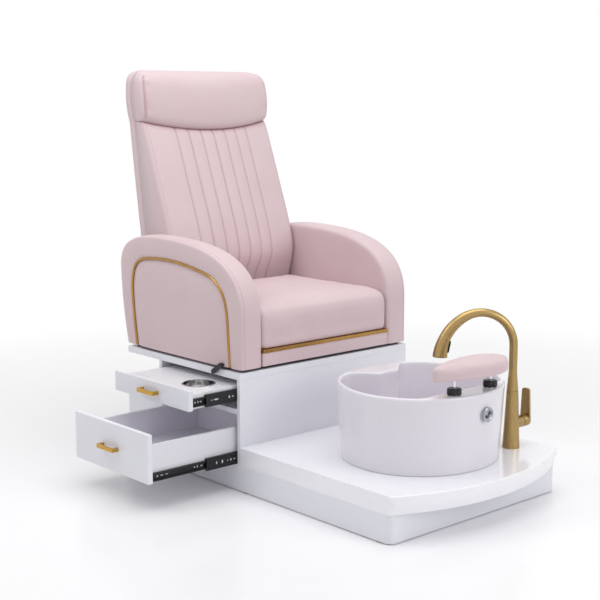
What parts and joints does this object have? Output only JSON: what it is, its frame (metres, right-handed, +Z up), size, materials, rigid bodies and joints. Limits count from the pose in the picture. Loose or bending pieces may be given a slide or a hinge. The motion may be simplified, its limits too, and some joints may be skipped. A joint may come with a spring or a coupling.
{
  "type": "pedicure spa chair",
  "caption": "Salon foot-spa chair: raised plinth with a heart-shaped basin, gooseneck tap and foot pad, and an upholstered reclining seat on a cabinet with a side drawer and tray.",
  "frame": {"origin": "centre of the plinth's footprint, on the floor under the rubber pads", "axes": "+Z up, +Y from the basin to the seat's back, +X to the sitter's left as seen from the front: the side of the tap; the drawer opens towards -X"},
  "size_m": [1.189, 1.5875, 1.412],
  "materials": {
    "white_board": "satin",
    "deck_gloss": "gloss",
    "basin_gloss": "high gloss",
    "rubber_feet": "matt",
    "slide_black": "satin",
    "drawer_board": "matt",
    "tray_white": "satin",
    "gold": "brushed",
    "steel": "brushed",
    "chrome_trim": "polished",
    "grey_plastic": "matt",
    "brass_parts": "plain",
    "black_plastic": "satin",
    "black_board": "satin",
    "black_metal": "satin",
    "plywood": "raw",
    "pink_leather": "soft, smooth grain"
  },
  "bodies": {
    "base": {"plinth": "white_board", "floor_board": "white_board", "front_panel": "white_board", "right_panel": "white_board", "rear_left_panel": "white_board", "back_panel": "white_board", "divider_board": "white_board", "bay_walls": "white_board", "top_plate": "white_board", "deck": "deck_gloss", "basin": "basin_gloss", "rubber_pads": "rubber_feet", "drawer_cabinet_slides": "slide_black", "tray_cabinet_slides": "slide_black", "faucet_body": "gold", "gold_strip": "gold", "arm_piping": "gold", "drain_body": "steel", "drain_knob_seat": "chrome_trim", "rod_sleeves": "chrome_trim", "trap": "grey_plastic", "outlet_pipe": "grey_plastic", "supply_pipes": "brass_parts", "faucet_nut": "brass_parts", "seat_base": "black_board", "seat_frame": "black_metal", "gas_spring": "black_metal", "seat_board": "plywood", "seat_cushion": "pink_leather", "seat_rail": "pink_leather", "arm_left": "pink_leather", "arm_right": "pink_leather"},
    "drawer": {"drawer_inner_slides": "slide_black", "drawer_box": "drawer_board", "drawer_front": "white_board", "drawer_pull": "gold"},
    "drawer_mid": {"drawer_mid_slides": "slide_black"},
    "tray": {"tray_inner_slides": "slide_black", "tray_body": "tray_white", "tray_front": "white_board", "tray_pull": "gold", "steel_cup": "steel"},
    "tray_mid": {"tray_mid_slides": "slide_black"},
    "drain_knob": {"drain_knob": "chrome_trim"},
    "drain_plug": {"drain_plug": "steel"},
    "spout": {"spout": "gold"},
    "spray_head": {"spray_head": "gold"},
    "spray_button": {"spray_button": "black_plastic"},
    "mixer_cartridge": {"mixer_cartridge": "grey_plastic"},
    "mixer_handle": {"mixer_handle": "gold"},
    "footrest": {"footrest_rods": "chrome_trim", "footrest_pad": "pink_leather"},
    "clamp_knob_left": {"clamp_knob_left": "black_plastic"},
    "clamp_knob_right": {"clamp_knob_right": "black_plastic"},
    "backrest": {"back_frame": "black_metal", "back_shell": "pink_leather", "back_cushion": "pink_leather", "headrest": "pink_leather"},
    "gas_rod": {"gas_rod": "chrome_trim"},
    "recline_lever": {"recline_lever": "black_plastic"}
  },
  "joints": [
    {"name": "drawer_slide", "type": "slide", "parent": "base", "child": "drawer", "axis": [-1, 0, 0], "range_m": [-0.363, 0]},
    {"name": "drawer_mid_slide", "type": "slide", "parent": "base", "child": "drawer_mid", "axis": [-1, 0, 0], "range_m": [-0.153, 0.001]},
    {"name": "tray_slide", "type": "slide", "parent": "base", "child": "tray", "axis": [-1, 0, 0], "range_m": [-0.2, 0]},
    {"name": "tray_mid_slide", "type": "slide", "parent": "base", "child": "tray_mid", "axis": [-1, 0, 0], "range_m": [-0.152, 0.001]},
    {"name": "drain_knob_turn", "type": "hinge", "parent": "base", "child": "drain_knob", "pos_m": [0.018, -0.6826, 0.3325], "axis": [0.06, -0.9982, 0], "range_deg": [0, 91]},
    {"name": "drain_plug_lift", "type": "slide", "parent": "base", "child": "drain_plug", "axis": [0, 0, 1], "range_m": [0, 0.008]},
    {"name": "spout_swivel", "type": "hinge", "parent": "base", "child": "spout", "pos_m": [0.287, -0.573, 0.3515], "axis": [0, 0, 1], "range_deg": [-60, 25]},
    {"name": "spray_head_pull", "type": "slide", "parent": "spout", "child": "spray_head", "axis": [-0.2335, 0.176, -0.9563], "range_m": [0, 0.035]},
    {"name": "spray_button_press", "type": "slide", "parent": "spray_head", "child": "spray_button", "axis": [-0.7873, 0.5932, 0.1682], "range_m": [0, 0.0015], "stiffness_N_per_m": 400, "springref_m": -0.0015},
    {"name": "mixer_turn", "type": "hinge", "parent": "base", "child": "mixer_cartridge", "pos_m": [0.287, -0.573, 0.2335], "axis": [1, 0, 0], "range_deg": [-45, 45]},
    {"name": "mixer_tilt", "type": "hinge", "parent": "mixer_cartridge", "child": "mixer_handle", "pos_m": [0.32, -0.573, 0.2335], "axis": [0, 1, 0], "range_deg": [0, 20]},
    {"name": "footrest_slide", "type": "slide", "parent": "base", "child": "footrest", "axis": [0, 0, 1], "range_m": [-0.025, 0.06]},
    {"name": "clamp_left_turn", "type": "hinge", "parent": "base", "child": "clamp_knob_left", "pos_m": [-0.086, -0.642, 0.412], "axis": [0, 0, 1], "range_deg": [-180, 180]},
    {"name": "clamp_right_turn", "type": "hinge", "parent": "base", "child": "clamp_knob_right", "pos_m": [0.086, -0.642, 0.412], "axis": [0, 0, 1], "range_deg": [-180, 180]},
    {"name": "backrest_recline", "type": "hinge", "parent": "base", "child": "backrest", "pos_m": [0, 0.628, 0.52], "axis": [-1, 0, 0], "range_deg": [0, 40]},
    {"name": "gas_rod_slide", "type": "slide", "parent": "base", "child": "gas_rod", "axis": [0, -1, 0], "range_m": [0, 0.0548]},
    {"name": "recline_lever_pull", "type": "hinge", "parent": "base", "child": "recline_lever", "pos_m": [-0.33, 0.113, 0.422], "axis": [1, 0, 0], "range_deg": [0, 25], "stiffness_Nm_per_rad": 0.6, "springref_deg": -17.19}
  ],
  "couplings": [
    {"joint": "drawer_mid_slide", "follows": "drawer_slide", "ratio": 0.41873},
    {"joint": "tray_mid_slide", "follows": "tray_slide", "ratio": 0.755},
    {"joint": "drain_knob_turn", "follows": "drain_plug_lift", "rad_per_m": 196.35},
    {"joint": "gas_rod_slide", "follows": "backrest_recline", "m_per_rad": 0.078385}
  ]
}
